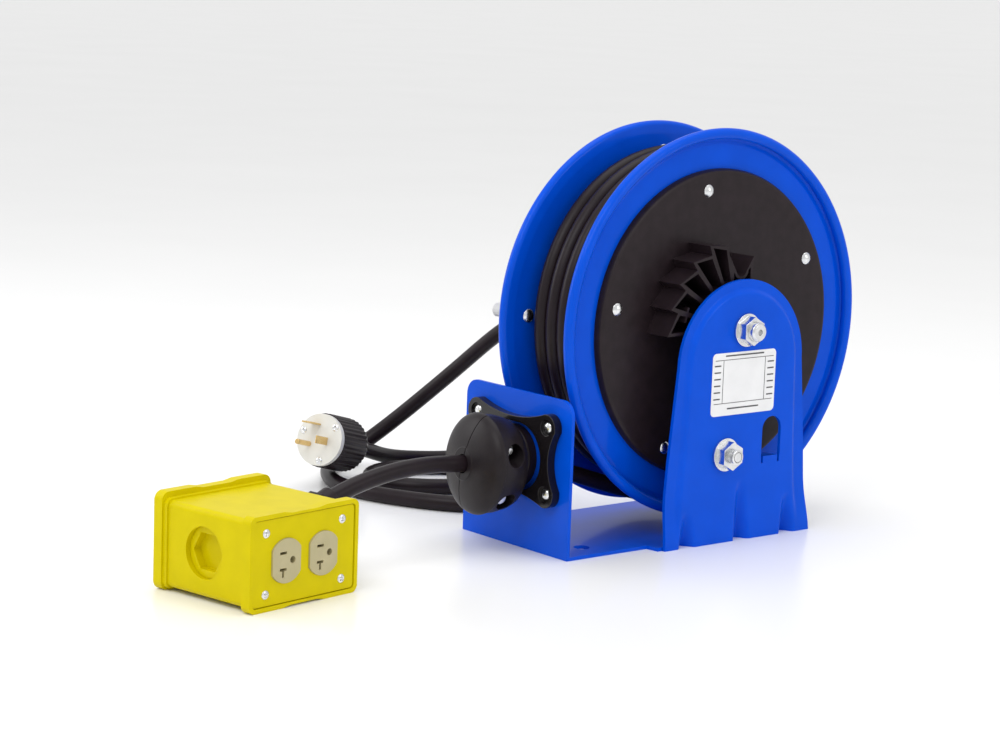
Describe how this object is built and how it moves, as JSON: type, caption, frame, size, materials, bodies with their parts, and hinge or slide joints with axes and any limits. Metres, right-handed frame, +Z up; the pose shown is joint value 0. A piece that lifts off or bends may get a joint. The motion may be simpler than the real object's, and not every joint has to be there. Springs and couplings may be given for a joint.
{
  "type": "extension cord reel",
  "caption": "Spring-rewind cord reel: sheet-metal drum on a pressed stand, cord guide with ball stop, portable outlet box and supply lead with plug.",
  "frame": {"origin": "on the underside of the stand's base plate, straight below the middle of the drum", "axes": "+X along the axle towards the side pedestal, -Y towards the cord guide, +Z up"},
  "size_m": [0.4282, 0.6714, 0.344],
  "materials": {
    "blue_paint": "gloss powder coat",
    "gloss_black": "gloss black",
    "zinc": "zinc plated",
    "spring_steel": "oiled spring steel",
    "dark_steel": "blackened steel",
    "black_plastic": "satin moulded",
    "matt_black": "matt",
    "cord_rubber": "smooth jacket",
    "yellow_plastic": "smooth",
    "ivory_plastic": "smooth",
    "label_white": "printed film, no text",
    "grey_plastic": "satin",
    "phenolic": "moulded",
    "carbon": "pressed carbon",
    "brass": "plain",
    "bronze": "sintered bronze"
  },
  "bodies": {
    "frame": {"base_frame": "blue_paint", "side_pedestal": "blue_paint", "spec_label": "label_white", "guide_frame": "gloss_black", "guide_rivets": "zinc", "guide_bushing": "black_plastic", "axle_shaft": "zinc", "axle_flange_nut": "zinc", "axle_end_nut": "zinc", "spring_arbor": "spring_steel", "pawl_pivot_bolt": "zinc", "pawl_flange_nut": "zinc", "pawl_spring": "spring_steel", "slip_ring_housing": "black_plastic", "brush_block": "phenolic", "brushes": "carbon", "lead_gland": "black_plastic", "supply_cord": "cord_rubber", "plug_shell": "black_plastic", "plug_face": "ivory_plastic", "plug_blades": "brass", "plug_screws": "zinc", "ball_stop_left": "matt_black", "ball_stop_right": "matt_black", "ball_stop_bolts": "zinc", "ball_stop_nuts": "zinc", "reel_cord": "cord_rubber", "outlet_cord": "cord_rubber", "box_body": "yellow_plastic", "box_front_cover": "yellow_plastic", "box_rear_cover": "yellow_plastic", "box_front_screws": "zinc", "box_rear_screws": "zinc", "receptacle_front": "ivory_plastic", "receptacle_rear": "ivory_plastic", "box_cord_grip": "black_plastic", "box_hole_plug": "yellow_plastic"},
    "drum": {"near_disc": "blue_paint", "far_disc": "blue_paint", "drum_core": "blue_paint", "near_cover": "black_plastic", "cover_rivets": "zinc", "disc_bolts": "zinc", "bumper_posts": "grey_plastic", "hub_bushing_near": "bronze", "hub_bushing_far": "bronze", "slip_ring_carrier": "phenolic", "slip_rings": "brass", "mainspring": "spring_steel", "wound_cord": "cord_rubber"},
    "pawl": {"pawl": "dark_steel"}
  },
  "joints": [
    {"name": "drum_spin", "type": "hinge", "parent": "frame", "child": "drum", "pos_m": [0, 0, 0.179], "axis": [1, 0, 0], "continuous": true},
    {"name": "pawl_swing", "type": "hinge", "parent": "frame", "child": "pawl", "pos_m": [0.064, -0.018, 0.075], "axis": [1, 0, 0], "range_deg": [-45, 0]}
  ]
}
